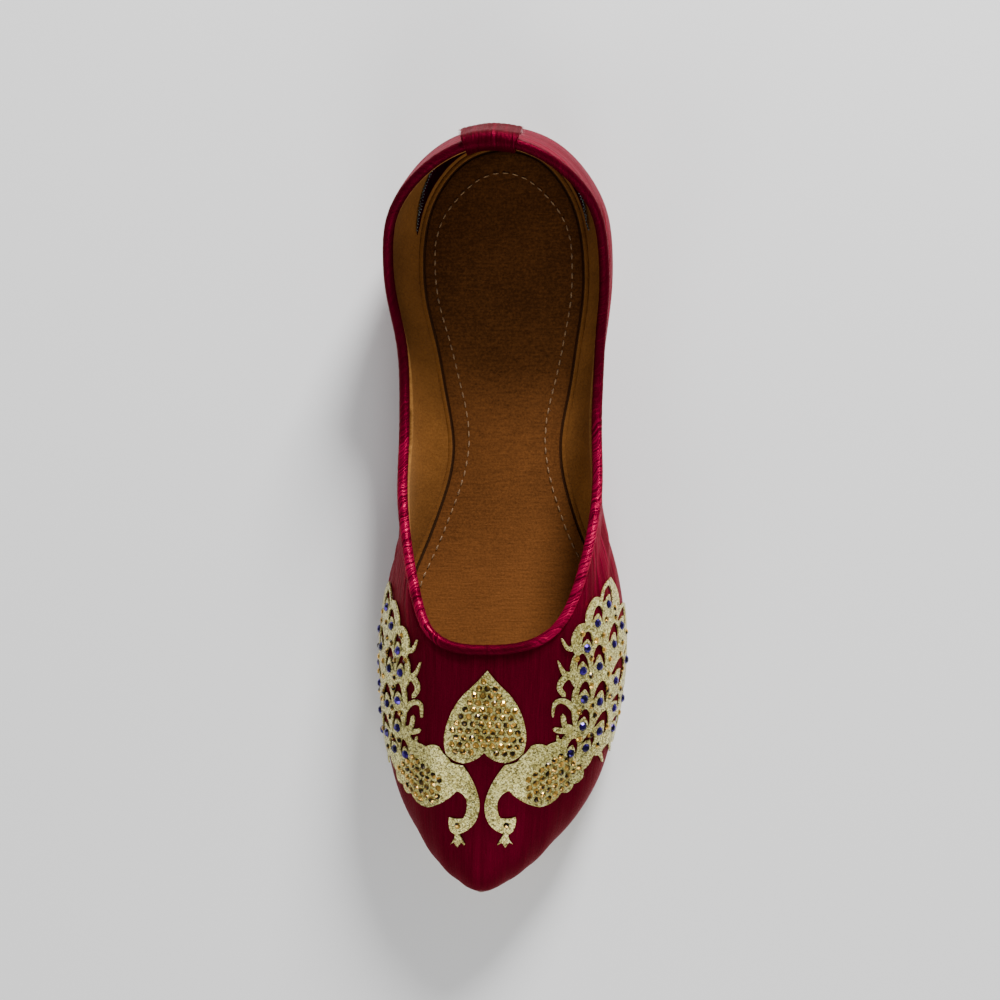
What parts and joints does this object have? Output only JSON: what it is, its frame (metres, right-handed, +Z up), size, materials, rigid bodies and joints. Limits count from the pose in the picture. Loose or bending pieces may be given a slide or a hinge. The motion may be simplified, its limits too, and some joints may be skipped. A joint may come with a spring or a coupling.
{
  "type": "mojari shoe",
  "caption": "Flat pointed slip-on shoe in ribbed satin with a low scooped collar, pull tab, thin sole with a low heel lift, and a leaf and birds cut from glitter cloth on the vamp.",
  "frame": {"origin": "on the floor under the middle of the shoe's box", "axes": "+Z up, the toe points to -Y, the outer side of the left foot is +X"},
  "size_m": [0.0794, 0.2436, 0.0588],
  "materials": {
    "satin": "ribbed satin with a soft shine",
    "satin_binding": "rolled satin edging",
    "grip_cloth": "dull dark cloth",
    "insole_suede": "brushed tan suede",
    "sole_leather": "pale raw leather, slightly ragged edge",
    "glitter_cloth": "coarse pale gold glitter",
    "stone_blue": "faceted, foil backed",
    "stone_amber": "faceted, foil backed",
    "thread": "matt sewing thread"
  },
  "bodies": {
    "root": {"outsole": "sole_leather", "heel_lift": "sole_leather", "insole": "insole_suede", "upper": "satin", "collar_binding": "satin_binding", "heel_tab": "satin_binding", "heel_grip": "grip_cloth", "vamp_leaf": "glitter_cloth", "bird_outer": "glitter_cloth", "bird_inner": "glitter_cloth"}
  },
  "joints": []
}
